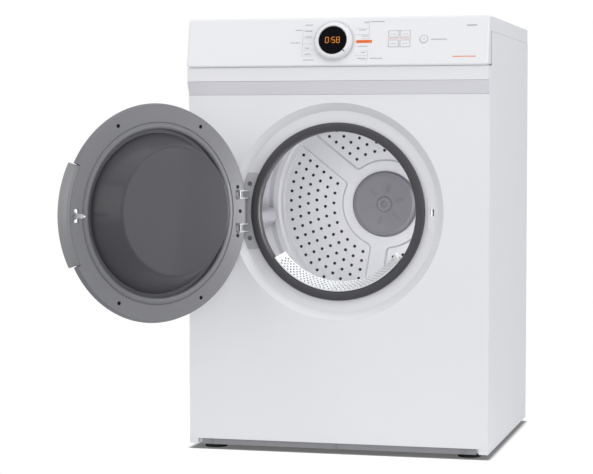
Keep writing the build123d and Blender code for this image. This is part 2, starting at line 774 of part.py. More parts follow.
# --- drum ---
def drum_shell():
    inner = DRUM_R - DRUM_SHEET
    skin = [(DRUM_FRONT, DRUM_LIP_R), (DRUM_FRONT, DRUM_R - 8.0), (DRUM_FRONT + 8.0, DRUM_R)]
    lining = [(DRUM_FRONT + 1.0, DRUM_LIP_R), (DRUM_FRONT + 1.0, DRUM_R - 8.4), (DRUM_FRONT + 8.4, inner)]
    for bead in (150.0, 210.0, 330.0, 390.0):
        skin += [(bead - 6, DRUM_R), (bead - 3, DRUM_R + 3), (bead + 3, DRUM_R + 3), (bead + 6, DRUM_R)]
        lining += [(bead - 5.6, inner), (bead - 2.6, inner + 3)]
        lining += [(bead + 2.6, inner + 3), (bead + 5.6, inner)]
    outline = skin + [(DRUM_REAR, DRUM_R), (DRUM_REAR, inner)] + lining[::-1]
    return turned(outline)


def drum_back():
    """Pressed end plate: three perforated pockets between the spokes, and a ridge near the rim."""
    face = BACK_DEPTH
    rim = DRUM_R - DRUM_SHEET
    front = [
        (face, 12.0), (face, 234.0), (face - 5.0, 239.0), (face - 5.0, 250.0), (face + 3.0, 262.0),
        (face + 3.0, rim),
    ]
    rear = [(d + BACK_SHEET, r) for d, r in reversed(front)]
    rearward = Plane(origin=(0, at(face), AXIS_Z), x_dir=(1, 0, 0), z_dir=(0, 1, 0))
    with BuildPart() as back:
        revolve(section(front + rear), axis=axis_of())
        with BuildSketch(rearward) as pockets:
            Circle(POCKET_OUT)
            Circle(POCKET_IN, mode=Mode.SUBTRACT)
            with PolarLocations(130.0, 3, start_angle=-FAN_ANGLES[0] - 60.0):
                Rectangle(260.0, SPOKE_W, mode=Mode.SUBTRACT)
            fillet(pockets.vertices(), 12.0)
        extrude(amount=POCKET_DEEP, taper=32.0)
        with BuildSketch(rearward) as hollows:
            add(pockets.sketch_local)
            offset(amount=-0.9, mode=Mode.REPLACE)
        extrude(amount=POCKET_DEEP - BACK_SHEET, taper=32.0, mode=Mode.SUBTRACT)
        with Locations(*[Plane(origin=p, z_dir=(0, 1, 0)) for p in pocket_holes(face + POCKET_DEEP - BACK_SHEET / 2)]):
            Cylinder(HOLE_R, 4.0, mode=Mode.SUBTRACT)
    return back


def pocket_holes(depth):
    """Centres of the air holes: staggered arcs of holes inside each pocket."""
    centres = []
    for middle in FAN_ANGLES:
        for row in range(6):
            radius = 116.0 + 19.2 * row
            half = math.radians(60.0) - math.asin((SPOKE_W / 2 + 18.0) / radius)
            count = int(2 * half * radius / 20.0) + 1
            for k in range(count):
                angle = math.radians(middle) - half + 2 * half * k / (count - 1)
                centres.append((radius * math.cos(angle), at(depth), AXIS_Z + radius * math.sin(angle)))
    return centres


def drum_lifter(angle):
    """Tumbling rib along the drum wall; the angle is counted from +X towards +Z."""
    inner = DRUM_R - DRUM_SHEET
    base, crest = inner + 6.0, inner - 46.0
    side = [
        (60.0, base), (60.0, inner - 22.0), (84.0, crest), (424.0, crest), (448.0, inner - 22.0),
        (448.0, base),
    ]
    with BuildPart() as rib:
        with BuildSketch(about(60.0)) as profile:
            with BuildLine():
                Polyline((crest, -10.0), (crest, 10.0), (base, 36.0), (base, -36.0), close=True)
            make_face()
            fillet(profile.vertices().group_by(Axis.X)[0], 8.0)
        extrude(amount=-388.0)
        extrude(section(side, angle=90.0), amount=50.0, both=True, mode=Mode.INTERSECT)
        with BuildSketch(about(50.0)):
            Circle(inner)
        extrude(amount=-420.0, mode=Mode.INTERSECT)
    rib.part = rib.part.rotate(axis_of(), -angle)
    return rib


def hub_cap():
    """Round cap over the drum's centre, with six pressed loops round a sunk middle."""
    face = BACK_DEPTH
    body = [
        (face, 0), (face, HUB_R), (face - 5.0, HUB_R), (face - 9.5, HUB_R - 4.0),
        (face - 11.0, HUB_R - 10.0),
        (face - 11.0, 17.0), (face - 13.8, 14.8), (face - 13.8, 7.0), (face - 10.0, 5.6), (face - 10.0, 0),
    ]
    with BuildPart() as cap:
        revolve(section(body), axis=axis_of())
        with BuildSketch(about(face - 12.2)):
            with PolarLocations(34.0, 6, start_angle=15.0):
                RectangleRounded(17.0, 6.0, 2.0)
        extrude(amount=-1.6)
        with BuildSketch(about(face - 12.2)):
            with PolarLocations(36.0, 6, start_angle=15.0):
                Rectangle(17.0, 3.0)
        extrude(amount=-1.6, mode=Mode.SUBTRACT)
    return cap


def drum_shaft():
    rear = BACK_DEPTH + BACK_SHEET
    return turned(
        [(rear, 0), (rear, 36.0), (rear + 3.5, 36.0), (rear + 3.5, SHAFT_R),
         (BULKHEAD_DEPTH + 13.0, SHAFT_R), (BULKHEAD_DEPTH + 13.0, 0)],
    )


def rear_bulkhead():
    flat, rim = BULKHEAD_DEPTH, BULKHEAD_DEPTH - 12.0
    return turned(
        [(flat, 20.0), (flat, 274.0), (rim, 287.0), (rim, 291.0), (rim + SHEET, 291.0), (rim + SHEET, 287.5),
         (flat + SHEET, 274.6), (flat + SHEET, 20.0)],
    )


def shaft_bearing():
    bore = SHAFT_R + RUNNING
    flat = BULKHEAD_DEPTH
    return turned(
        [(flat - 9.0, bore), (flat - 9.0, 17.0), (flat - 3.0, 17.0), (flat - 3.0, 28.0), (flat, 28.0),
         (flat, 20.0), (flat + 8.0, 20.0), (flat + 8.0, bore)],
    )


# --- air path and drive ---
def heater_box():
    with BuildPart() as box:
        with BuildSketch(facing(BULKHEAD_DEPTH + SHEET)):
            with Locations((150, 480)):
                RectangleRounded(190, 240, 12)
        extrude(amount=-42.0)
        with BuildSketch(facing(BULKHEAD_DEPTH + SHEET)):
            with Locations((150, 480)):
                RectangleRounded(187, 237, 10.5)
        extrude(amount=-40.5, mode=Mode.SUBTRACT)
    return box


def exhaust_duct():
    """Air channel: down behind the front panel, back under the drum, and across to the fan."""
    wall = 1.5
    runs = [
        # x low, x high, depth low, depth high, z low, z high
        (-80.0, 80.0, 17.0, 26.4, 60.0, 298.0),
        (-60.0, 60.0, 17.0, 428.0, 40.0, 118.0),
        (-60.0, 226.0, 404.0, 429.0, 30.0, 176.0),
    ]
    with BuildPart() as duct:
        for grow, mode in ((0.0, Mode.ADD), (wall, Mode.SUBTRACT)):
            for x0, x1, d0, d1, z0, z1 in runs:
                with BuildSketch(facing(d0 + grow)):
                    with Locations(((x0 + x1) / 2, (z0 + z1) / 2)):
                        Rectangle(x1 - x0 - 2 * grow, z1 - z0 - 2 * grow)
                extrude(amount=-(d1 - d0 - 2 * grow), mode=mode)
        with BuildSketch(Plane.XY.offset(298.0)):
            with Locations((0, at(21.7))):
                Rectangle(150, 6.0)
        extrude(amount=-3.0, mode=Mode.SUBTRACT)
        with BuildSketch(facing(429.0)):
            with Locations((MOTOR_X, MOTOR_Z)):
                Circle(40.0)
        extrude(amount=3.0, mode=Mode.SUBTRACT)
        with BuildSketch(facing(404.0)):
            with Locations((MOTOR_X, MOTOR_Z)):
                Circle(MOTOR_SHAFT_R + 2.0)
        extrude(amount=-3.0, mode=Mode.SUBTRACT)
    return duct


def fan_housing():
    """Scroll case with a round inlet in front and a round outlet towards the rear panel."""
    with BuildPart() as case:
        for grow, mode in ((0.0, Mode.ADD), (2.0, Mode.SUBTRACT)):
            with BuildSketch(facing(429.2 + grow)):
                with Locations((MOTOR_X, MOTOR_Z)):
                    Circle(82.0 - grow)
                with Locations((44.0, OUTLET_Z)):
                    Rectangle(212.0 - 2 * grow, 110.0 - 2 * grow)
            extrude(amount=-(57.0 - 2 * grow), mode=mode)
        with BuildSketch(facing(429.2)):
            with Locations((MOTOR_X, MOTOR_Z)):
                Circle(40.0)
        extrude(amount=-2.0, mode=Mode.SUBTRACT)
        with BuildSketch(facing(486.2)):
            with Locations((OUTLET_X, OUTLET_Z)):
                Circle(OUTLET_R - 2.0)
        extrude(amount=2.0, mode=Mode.SUBTRACT)
    return case


def exhaust_outlet():
    bore = OUTLET_R - 2.0
    return turned(
        [(486.2, bore), (486.2, 54.0), (488.2, 54.0), (488.2, OUTLET_R), (DEPTH, OUTLET_R), (DEPTH, 62.0),
         (DEPTH + 2.0, 62.0), (DEPTH + 2.0, OUTLET_R), (DEPTH + 38.0, OUTLET_R), (DEPTH + 38.0, bore)],
        OUTLET_X, OUTLET_Z,
    )


def motor_body():
    shaft = MOTOR_SHAFT_R + RUNNING
    return turned(
        [(306.0, shaft), (306.0, 16.0), (312.0, 20.0), (312.0, 44.0), (318.0, 50.0), (322.0, 52.0),
         (388.0, 52.0),
         (392.0, 50.0), (396.0, 44.0), (396.0, 20.0), (400.0, 16.0), (400.0, shaft)],
        MOTOR_X, MOTOR_Z,
    )


def drive_bracket():
    """Base plate with two motor saddles and the upright that carries the idler arm's pivot."""
    floor = TRAY_BOTTOM + TRAY_SHEET
    px, pz = ARM_PIVOT
    upright = BELT_DEPTH + 10.6
    with BuildPart() as bracket:
        with BuildSketch(Plane.XY.offset(floor)):
            with Locations((175.0, at(341.0))):
                Rectangle(170, 124)
        extrude(amount=3.0)
        for depth in (326.0, 380.0):
            with BuildSketch(facing(depth)):
                with Locations((MOTOR_X, floor + 32.0)):
                    Rectangle(104, 64)
                with Locations((MOTOR_X, MOTOR_Z)):
                    Circle(52.0, mode=Mode.SUBTRACT)
            extrude(amount=-4.0)
        with BuildSketch(facing(upright)):
            with Locations((px, (floor + pz + 12) / 2)):
                Rectangle(34, pz + 12 - floor)
        extrude(amount=-3.0)
        with BuildSketch(facing(upright)):
            with Locations((px, pz)):
                Circle(4.0)
        extrude(amount=6.0)
    return bracket


def motor_shaft():
    return turned([(255.0, 0), (255.0, MOTOR_SHAFT_R), (474.0, MOTOR_SHAFT_R), (474.0, 0)], MOTOR_X, MOTOR_Z)


def motor_pulley():
    low, high = BELT_DEPTH - BELT_W / 2 - 1.0, BELT_DEPTH + BELT_W / 2 + 1.0
    return turned(
        [(low - 2, MOTOR_SHAFT_R), (low - 2, 12.5), (low, 12.5), (low, PULLEY_R), (high, PULLEY_R),
         (high, 12.5),
         (high + 2, 12.5), (high + 2, MOTOR_SHAFT_R)],
        MOTOR_X, MOTOR_Z,
    )


def fan_wheel():
    with BuildPart() as fan:
        revolve(
            section(
                [(438.0, MOTOR_SHAFT_R), (438.0, 13.0), (466.0, 15.0), (466.0, 68.0), (468.0, 68.0),
                 (468.0, MOTOR_SHAFT_R)],
                MOTOR_X, MOTOR_Z,
            ),
            axis=axis_of(MOTOR_X, MOTOR_Z),
        )
        with BuildSketch(about(438.0, MOTOR_X, MOTOR_Z)):
            with PolarLocations(56.0, 18):
                Rectangle(20.0, 1.6)
        extrude(amount=-28.0)
    return fan


def belt_loop(grow):
    """Outline of the belt round the drum and the motor pulley."""
    with BuildSketch(facing(BELT_DEPTH - BELT_W / 2)) as loop:
        with Locations((0, AXIS_Z)):
            Circle(DRUM_R + BELT_GAP + grow)
        with Locations((MOTOR_X, MOTOR_Z)):
            Circle(PULLEY_R + BELT_GAP + grow)
        make_hull()
    return loop.sketch


def drive_belt():
    with BuildPart() as belt:
        extrude(belt_loop(BELT_T), amount=-BELT_W)
        extrude(belt_loop(0.0), amount=-BELT_W, mode=Mode.SUBTRACT)
    return belt


def idler_centre():
    """Idler place: outside the belt's right-hand run, a short way up from the motor pulley."""
    run = math.hypot(MOTOR_X, MOTOR_Z - AXIS_Z)
    towards = math.atan2(MOTOR_Z - AXIS_Z, MOTOR_X)
    tilt = towards + math.acos((DRUM_R - PULLEY_R) / run)
    reach = PULLEY_R + BELT_GAP + BELT_T + BELT_GAP + IDLER_R
    x = MOTOR_X + reach * math.cos(tilt) - 70.0 * math.sin(tilt)
    z = MOTOR_Z + reach * math.sin(tilt) + 70.0 * math.cos(tilt)
    return x, z


def idler_pulley():
    x, z = idler_centre()
    low, high = BELT_DEPTH - 6.0, BELT_DEPTH + 6.0
    return turned([(low, 4.0 + RUNNING), (low, IDLER_R), (high, IDLER_R), (high, 4.0 + RUNNING)], x, z)


def idler_arm():
    """Sprung arm with the idler's axle; it turns on the bracket's pivot."""
    x, z = idler_centre()
    px, pz = ARM_PIVOT
    plate = BELT_DEPTH + 7.0
    with BuildPart() as arm:
        with BuildSketch(facing(plate)):
            with Locations((x, z)):
                Circle(9.0)
            with Locations((px, pz)):
                Circle(11.0)
            make_hull()
            with Locations((px, pz)):
                Circle(4.0 + RUNNING, mode=Mode.SUBTRACT)
        extrude(amount=-3.0)
        with BuildSketch(facing(plate)):
            with Locations((x, z)):
                Circle(4.0)
        extrude(amount=15.0)
    return arm


def cord_gland():
    rear = DEPTH
    return turned(
        [(rear - 6.0, 4.0), (rear - 6.0, 13.0), (rear - SHEET, 13.0), (rear - SHEET, 9.0),
         (rear, 9.0), (rear, 13.0),
         (rear + 4.0, 13.0), (rear + 16.0, 8.0), (rear + 16.0, 4.0)],
        210.0, 700.0,
    )


def levelling_foot(x, y):
    """Round pad on a threaded stud that passes through the base tray."""
    with BuildPart() as foot:
        with BuildSketch(Plane.XY):
            with Locations((x, y)):
                Circle(FOOT_R)
        extrude(amount=8.0)
        with BuildSketch(Plane.XY.offset(8.0)):
            with Locations((x, y)):
                Circle(STUD_R)
        extrude(amount=36.0)
    return foot


def main():
    os.makedirs("parts", exist_ok=True)
    save(base_tray(), "base_tray")
    save(side_panel(-1), "left_side_panel")
    save(side_panel(1), "right_side_panel")
    save(front_panel(), "front_panel")
    save(rear_panel(), "rear_panel")
    save(top_cover(), "top_cover")
    save(plinth_strip(), "plinth_strip")
    save(plinth_screws(), "plinth_screws")
    save(control_panel(), "control_panel")
    save(trim_strip(), "trim_strip")
    save(trim_band(), "trim_band")
    save(display_window(), "display_window", lean=FASCIA_LEAN)
    save(control_board(), "control_board", lean=FASCIA_LEAN)
    save(door_seal(), "door_seal")
    save(front_bulkhead(), "front_bulkhead")
    save(lint_grille(), "lint_grille")
    save(hinge_plate(), "hinge_plate")
    save(hinge_screws(), "hinge_screws")
    save(latch_plate(), "latch_plate")
    save(latch_catch(), "latch_catch")
    save(rear_bulkhead(), "rear_bulkhead")
    save(shaft_bearing(), "shaft_bearing")
    save(heater_box(), "heater_box")
    save(exhaust_duct(), "exhaust_duct")
    save(fan_housing(), "fan_housing")
    save(exhaust_outlet(), "exhaust_outlet")
    save(motor_body(), "motor_body")
    save(drive_bracket(), "drive_bracket")
    save(drive_belt(), "drive_belt")
    save(cord_gland(), "cord_gland")

    save(selector_knob(), "selector_knob", lean=FASCIA_LEAN)
    for number, (x, z) in enumerate([(x, z) for z in BUTTON_ZS for x in BUTTON_XS], start=1):
        save(button_cap(x, z), f"option_button_{number}", lean=FASCIA_LEAN)
    save(start_button(), "start_button", lean=FASCIA_LEAN)

    door = {
        "door_inner_ring": door_inner_ring, "door_screws": door_screws, "door_bowl": door_bowl,
        "door_outer_ring": door_outer_ring, "door_window": door_window, "door_handle": door_handle,
        "latch_hook": latch_hook, "hinge_pins": hinge_pins,
    }
    for name, make in door.items():
        save(make(), name, swing=-OPEN_ANGLE)

    save(drum_shell(), "drum_shell")
    save(drum_back(), "drum_back")
    for number, angle in enumerate(LIFTER_ANGLES, start=1):
        save(drum_lifter(angle), f"drum_lifter_{number}")
    save(hub_cap(), "hub_cap")
    save(drum_shaft(), "drum_shaft")

    save(motor_shaft(), "motor_shaft")
    save(motor_pulley(), "motor_pulley")
    save(fan_wheel(), "fan_wheel")
    save(idler_arm(), "idler_arm")
    save(idler_pulley(), "idler_pulley")

    corners = [(-FEET_X, -FEET_Y), (FEET_X, -FEET_Y), (-FEET_X, FEET_Y), (FEET_X, FEET_Y)]
    for number, (x, y) in enumerate(corners, start=1):
        save(levelling_foot(x, y), f"foot_{number}")


main()
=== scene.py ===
import bpy
import bmesh
import json
import math
from mathutils import Matrix, Vector


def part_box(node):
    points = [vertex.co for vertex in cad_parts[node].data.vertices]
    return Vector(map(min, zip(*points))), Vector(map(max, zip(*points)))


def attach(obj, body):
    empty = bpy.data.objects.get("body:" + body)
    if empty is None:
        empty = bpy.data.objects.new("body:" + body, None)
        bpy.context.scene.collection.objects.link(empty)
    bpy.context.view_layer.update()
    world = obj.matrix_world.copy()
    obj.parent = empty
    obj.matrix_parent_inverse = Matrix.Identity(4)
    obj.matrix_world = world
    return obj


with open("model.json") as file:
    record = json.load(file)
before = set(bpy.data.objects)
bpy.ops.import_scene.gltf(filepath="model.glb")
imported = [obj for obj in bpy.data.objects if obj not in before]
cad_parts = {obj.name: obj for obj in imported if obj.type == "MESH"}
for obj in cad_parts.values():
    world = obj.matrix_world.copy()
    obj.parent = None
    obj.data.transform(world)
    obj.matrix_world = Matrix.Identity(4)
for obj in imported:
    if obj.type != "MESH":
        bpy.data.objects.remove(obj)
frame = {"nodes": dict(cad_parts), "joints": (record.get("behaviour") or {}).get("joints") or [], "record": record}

scene = bpy.context.scene
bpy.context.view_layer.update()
nodes = frame["nodes"]
print("frame loaded:", len(nodes), "nodes")


# ---- places read from the frame ----
def centreOf(node):
    low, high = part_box(node)
    return (low + high) / 2


def jointNamed(name):
    return next(j for j in frame["joints"] if j["name"] == name)


mm = 0.001
drumCentre = centreOf("drum_shell")
knobJoint = jointNamed("knob_turn")
faceLean = math.atan2(-knobJoint["axis"][2], knobJoint["axis"][1])
hingeAxis = Vector(jointNamed("door_hinge")["pos_m"])
openAngle = math.radians(jointNamed("door_hinge")["range_deg"][1])
# from the shut door to the open one, as the frame stands
doorSwing = Matrix.Rotation(-openAngle, 4, "Z")
doorTurn = Matrix.Translation(hingeAxis) @ doorSwing @ Matrix.Translation(-hingeAxis)
# the fascia's leaning face: origin in the middle of the knob, x across, z up the face, -y out of it
fasciaFace = Matrix.Translation(Vector(knobJoint["pos_m"])) @ Matrix.Rotation(-faceLean, 4, "X")


# ---- camera and studio ----
camera = {
    "place": (0.8567, -3.8722, 0.6142),
    "turn": (87.04, 0.0, 14.54),
    "lens": 116.63,
    "sensor": 36.0,
    "farEnd": 100.0,
}
studio = {
    "worldLight": 0.6,
    "worldTint": (0.97, 0.98, 1, 1),
    "white": (1, 1, 1, 1),
    "softboxes": [
        # name, place, aimed at, width, height, watts
        ("overheadSoftbox", (-0.3, -1.0, 3.0), (0.0, 0.0, 0.4), 3.0, 3.0, 27.0),
        ("frontLeftSoftbox", (-2.6, -3.4, 1.3), (0.0, 0.0, 0.5), 2.2, 3.0, 28.0),
        ("rightFillSoftbox", (3.4, -1.4, 1.3), (0.2, 0.0, 0.55), 2.0, 2.6, 43.0),
        ("frontFillSoftbox", (1.1, -4.4, 1.3), (0.0, 0.0, 0.5), 1.4, 1.0, 12.0),
        # behind the bulkhead ring, out of sight, to brighten the drum
        ("drumGlowRight", (0.19, -0.2, 0.47), (-0.28, -0.1, 0.45), 0.08, 0.16, 1.2),
        ("drumGlowLeft", (-0.19, -0.2, 0.47), (0.28, -0.05, 0.5), 0.08, 0.16, 0.14),
        ("drumGlowLow", (0.06, -0.2, 0.275), (-0.1, 0.18, 0.38), 0.16, 0.06, 0.2),
    ],
}
# the sheet of paper under the machine; distances in metres, the painted contact shadow measured out from the
# footprint
paper = {
    "radius": 4.0,
    "sides": 96,
    "roughness": 0.95,
    "specular": 0.1,
    # the colour under the machine is a painted contact shadow, giving way to the open paper over the next pair of
    # distances
    "paintedShadow": (0.02, 0.02, 0.022, 1),
    "open": (0.82, 0.82, 0.82, 1),
    "paintedShadowEdge": (-0.006, 0.012),
    "fade": (0.5, 0.9),
    "lift": 0.5,
}


def newNode(tree, kind, operation=None):
    node = tree.nodes.new("ShaderNode" + kind)
    if operation:
        node.operation = operation
    return node


def newRamp(tree, ends):
    # a smooth step between two distances
    ramp = newNode(tree, "MapRange")
    ramp.interpolation_type = "SMOOTHSTEP"
    ramp.inputs["From Min"].default_value, ramp.inputs["From Max"].default_value = ends
    return ramp


def buildCamera():
    data = bpy.data.cameras.new("mainCamera")
    data.lens = camera["lens"]
    data.sensor_width = camera["sensor"]
    data.clip_end = camera["farEnd"]
    rig = bpy.data.objects.new("mainCamera", data)
    rig.location = camera["place"]
    rig.rotation_euler = [math.radians(a) for a in camera["turn"]]
    scene.collection.objects.link(rig)
    scene.camera = rig


def buildLights():
    for name, place, aim, width, height, power in studio["softboxes"]:
        data = bpy.data.lights.new(name, "AREA")
        data.shape = "RECTANGLE"
        data.size, data.size_y = width, height
        data.energy = power
        lamp = bpy.data.objects.new(name, data)
        lamp.location = place
        lamp.rotation_euler = (Vector(aim) - Vector(place)).to_track_quat("-Z", "Y").to_euler()
        scene.collection.objects.link(lamp)
    world = bpy.data.worlds.new("studio")
    world.use_nodes = True
    tree = world.node_tree
    tree.nodes.clear()
    out = newNode(tree, "OutputWorld")
    mix = newNode(tree, "MixShader")
    path = newNode(tree, "LightPath")
    seen = newNode(tree, "Background")
    lit = newNode(tree, "Background")
    seen.inputs["Color"].default_value = studio["white"]
    lit.inputs["Color"].default_value = studio["worldTint"]
    lit.inputs["Strength"].default_value = studio["worldLight"]
    tree.links.new(path.outputs["Is Camera Ray"], mix.inputs["Fac"])
    tree.links.new(lit.outputs[0], mix.inputs[1])
    tree.links.new(seen.outputs[0], mix.inputs[2])
    tree.links.new(mix.outputs[0], out.inputs[0])
    scene.world = world
    scene.view_settings.view_transform = "Standard"
    scene.view_settings.look = "None"


def buildFloor():
    bm = bmesh.new()
    bmesh.ops.create_circle(bm, cap_ends=True, segments=paper["sides"], radius=paper["radius"])
    mesh = bpy.data.meshes.new("studioFloor")
    bm.to_mesh(mesh)
    bm.free()
    floor = bpy.data.objects.new("studioFloor", mesh)
    scene.collection.objects.link(floor)
    material, tree, shader = newMaterial("paleFloor")
    shader.inputs["Roughness"].default_value = paper["roughness"]
    shader.inputs["Specular IOR Level"].default_value = paper["specular"]
    shader.inputs["Emission Color"].default_value = studio["white"]
    link = tree.links.new
    place = newNode(tree, "TexCoord")
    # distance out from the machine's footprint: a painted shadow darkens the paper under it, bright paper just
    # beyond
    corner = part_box("base_tray")[1]
    size = newNode(tree, "VectorMath", "ABSOLUTE")
    out = newNode(tree, "VectorMath", "SUBTRACT")
    out.inputs[1].default_value = (corner.x, corner.y, 0)
    kept = newNode(tree, "VectorMath", "MAXIMUM")
    distance = newNode(tree, "VectorMath", "LENGTH")
    edge = newRamp(tree, paper["paintedShadowEdge"])
    tint = newNode(tree, "Mix")
    tint.data_type = "RGBA"
    tint.inputs["A"].default_value = paper["paintedShadow"]
    tint.inputs["B"].default_value = paper["open"]
    # a glow seen only by the camera, none under the footprint: painted light that whitens the open paper around
    # the painted shadow
    path = newNode(tree, "LightPath")
    lift = newNode(tree, "Math", "MULTIPLY")
    gain = newNode(tree, "Math", "MULTIPLY")
    gain.inputs[1].default_value = paper["lift"]
    link(place.outputs["Object"], size.inputs[0])
    link(size.outputs[0], out.inputs[0])
    link(out.outputs[0], kept.inputs[0])
    link(kept.outputs[0], distance.inputs[0])
    link(distance.outputs["Value"], edge.inputs["Value"])
    link(edge.outputs["Result"], tint.inputs["Factor"])
    link(tint.outputs["Result"], shader.inputs["Base Color"])
    link(edge.outputs["Result"], lift.inputs[0])
    link(path.outputs["Is Camera Ray"], lift.inputs[1])
    link(lift.outputs[0], gain.inputs[0])
    link(gain.outputs[0], shader.inputs["Emission Strength"])
    # opaque near the machine, clear further out, so the paper runs into the white background
    reach = newNode(tree, "VectorMath", "LENGTH")
    fade = newRamp(tree, paper["fade"])
    fade.inputs["To Min"].default_value, fade.inputs["To Max"].default_value = 1.0, 0.0
    link(place.outputs["Object"], reach.inputs[0])
    link(reach.outputs["Value"], fade.inputs["Value"])
    link(fade.outputs["Result"], shader.inputs["Alpha"])
    mesh.materials.append(material)


# ---- shared material effects ----
def newGroup(name, inputs, outputs):
    group = bpy.data.node_groups.new(name, "ShaderNodeTree")
    for label, kind, value in inputs:
        socket = group.interface.new_socket(name=label, in_out="INPUT", socket_type=kind)
        if value is not None:
            socket.default_value = value
    for label, kind in outputs:
        group.interface.new_socket(name=label, in_out="OUTPUT", socket_type=kind)
    return group, group.nodes.new("NodeGroupInput"), group.nodes.new("NodeGroupOutput")


def buildToneDrift():
    # slow brightness drift over a surface
    group, start, end = newGroup(
        "toneDrift",
        [("Vector", "NodeSocketVector", None), ("Color", "NodeSocketColor", (0.8, 0.8, 0.8, 1)),
         ("Drift", "NodeSocketFloat", 0.03), ("Scale", "NodeSocketFloat", 4.0)],
        [("Color", "NodeSocketColor")],
    )
    noise = newNode(group, "TexNoise")
    noise.inputs["Detail"].default_value = 4.0
    centred = newNode(group, "Math", "SUBTRACT")
    centred.inputs[1].default_value = 0.5
    scaled = newNode(group, "Math", "MULTIPLY_ADD")
    scaled.inputs[2].default_value = 1.0
    tint = newNode(group, "VectorMath", "SCALE")
    link = group.links.new
    link(start.outputs["Vector"], noise.inputs["Vector"])
    link(start.outputs["Scale"], noise.inputs["Scale"])
    link(noise.outputs["Fac"], centred.inputs[0])
    link(centred.outputs[0], scaled.inputs[0])
    link(start.outputs["Drift"], scaled.inputs[1])
    link(start.outputs["Color"], tint.inputs[0])
    link(scaled.outputs[0], tint.inputs["Scale"])
    link(tint.outputs[0], end.inputs["Color"])
    return group


def buildSmudge():
    # roughness that varies as handling and moulding leave it
    group, start, end = newGroup(
        "smudge",
        [("Vector", "NodeSocketVector", None), ("Roughness", "NodeSocketFloat", 0.4),
         ("Spread", "NodeSocketFloat", 0.1), ("Scale", "NodeSocketFloat", 9.0)],
        [("Roughness", "NodeSocketFloat")],
    )
    noise = newNode(group, "TexNoise")
    noise.inputs["Detail"].default_value = 6.0
    noise.inputs["Roughness"].default_value = 0.62
    centred = newNode(group, "Math", "SUBTRACT")
    centred.inputs[1].default_value = 0.5
    result = newNode(group, "Math", "MULTIPLY_ADD")
    link = group.links.new
    link(start.outputs["Vector"], noise.inputs["Vector"])
    link(start.outputs["Scale"], noise.inputs["Scale"])
    link(noise.outputs["Fac"], centred.inputs[0])
    link(centred.outputs[0], result.inputs[0])
    link(start.outputs["Spread"], result.inputs[1])
    link(start.outputs["Roughness"], result.inputs[2])
    link(result.outputs[0], end.inputs["Roughness"])
    return group


def buildGrain():
    # fine height for orange peel and moulded texture
    group, start, end = newGroup(
        "grain",
        [("Vector", "NodeSocketVector", None), ("Scale", "NodeSocketFloat", 400.0)],
        [("Height", "NodeSocketFloat")],
    )
    noise = newNode(group, "TexNoise")
    noise.inputs["Detail"].default_value = 3.0
    link = group.links.new
    link(start.outputs["Vector"], noise.inputs["Vector"])
    link(start.outputs["Scale"], noise.inputs["Scale"])
    link(noise.outputs["Fac"], end.inputs["Height"])
    return group


def buildRoundBrushing():
    # height that follows circles about a front-to-back axis, as turned or brushed sheet shows
    group, start, end = newGroup(
        "roundBrushing",
        [("Vector", "NodeSocketVector", None), ("Fineness", "NodeSocketFloat", 900.0)],
        [("Height", "NodeSocketFloat")],
    )
    split = newNode(group, "SeparateXYZ")
    flat = newNode(group, "CombineXYZ")
    radius = newNode(group, "VectorMath", "LENGTH")
    joined = newNode(group, "CombineXYZ")
    noise = newNode(group, "TexNoise")
    noise.inputs["Detail"].default_value = 2.0
    link = group.links.new
    link(start.outputs["Vector"], split.inputs[0])
    link(split.outputs["X"], flat.inputs["X"])
    link(split.outputs["Z"], flat.inputs["Z"])
    link(flat.outputs[0], radius.inputs[0])
    link(radius.outputs["Value"], joined.inputs["X"])
    link(split.outputs["Y"], joined.inputs["Y"])
    link(joined.outputs[0], noise.inputs["Vector"])
    link(start.outputs["Fineness"], noise.inputs["Scale"])
    link(noise.outputs["Fac"], end.inputs["Height"])
    return group


def newMaterial(name):
    material = bpy.data.materials.new(name)
    material.use_nodes = True
    tree = material.node_tree
    return material, tree, tree.nodes["Principled BSDF"]


def addGroup(tree, group, **values):
    node = newNode(tree, "Group")
    node.node_tree = group
    for label, value in values.items():
        node.inputs[label].default_value = value
    return node


# what a finish has when its own line doesn't say otherwise
usualLook = {
    "centre": (0, 0, 0),
    "drift": 0.04, "driftScale": 5.0,
    "spread": 0.12, "smudgeScale": 11.0,
    "metallic": 0.0, "specular": 0.5,
    "coat": 0.0, "coatRoughness": 0.1,
    "round": None, "grainScale": 500.0,
    "bump": 0.08, "bumpDepth": 0.0004,
}


def finishMaterial(name, ownLook):
    # drifting colour, smudged roughness and a fine bump, all on object coordinates
    look = {**usualLook, **ownLook}
    material, tree, shader = newMaterial(name)
    link = tree.links.new
    place = newNode(tree, "TexCoord")
    mapping = newNode(tree, "Mapping")
    mapping.inputs["Location"].default_value = [-c for c in look["centre"]]
    link(place.outputs["Object"], mapping.inputs["Vector"])
    where = mapping.outputs[0]
    tone = addGroup(tree, toneDrift, Color=(*look["colour"], 1), Drift=look["drift"],
                    Scale=look["driftScale"])
    link(where, tone.inputs["Vector"])
    link(tone.outputs["Color"], shader.inputs["Base Color"])
    rough = addGroup(tree, smudge, Roughness=look["roughness"], Spread=look["spread"],
                     Scale=look["smudgeScale"])
    link(where, rough.inputs["Vector"])
    link(rough.outputs["Roughness"], shader.inputs["Roughness"])
    shader.inputs["Metallic"].default_value = look["metallic"]
    shader.inputs["Specular IOR Level"].default_value = look["specular"]
    shader.inputs["Coat Weight"].default_value = look["coat"]
    shader.inputs["Coat Roughness"].default_value = look["coatRoughness"]
    if look["round"]:
        height = addGroup(tree, roundBrushing, Fineness=look["round"])
    else:
        height = addGroup(tree, grain, Scale=look["grainScale"])
    link(where, height.inputs["Vector"])
    bump = newNode(tree, "Bump")
    bump.inputs["Strength"].default_value = look["bump"]
    bump.inputs["Distance"].default_value = look["bumpDepth"]
    link(height.outputs["Height"], bump.inputs["Height"])
    link(bump.outputs["Normal"], shader.inputs["Normal"])
    return material


toneDrift = buildToneDrift()
smudge = buildSmudge()
grain = buildGrain()
roundBrushing = buildRoundBrushing()
print("shared effects built")

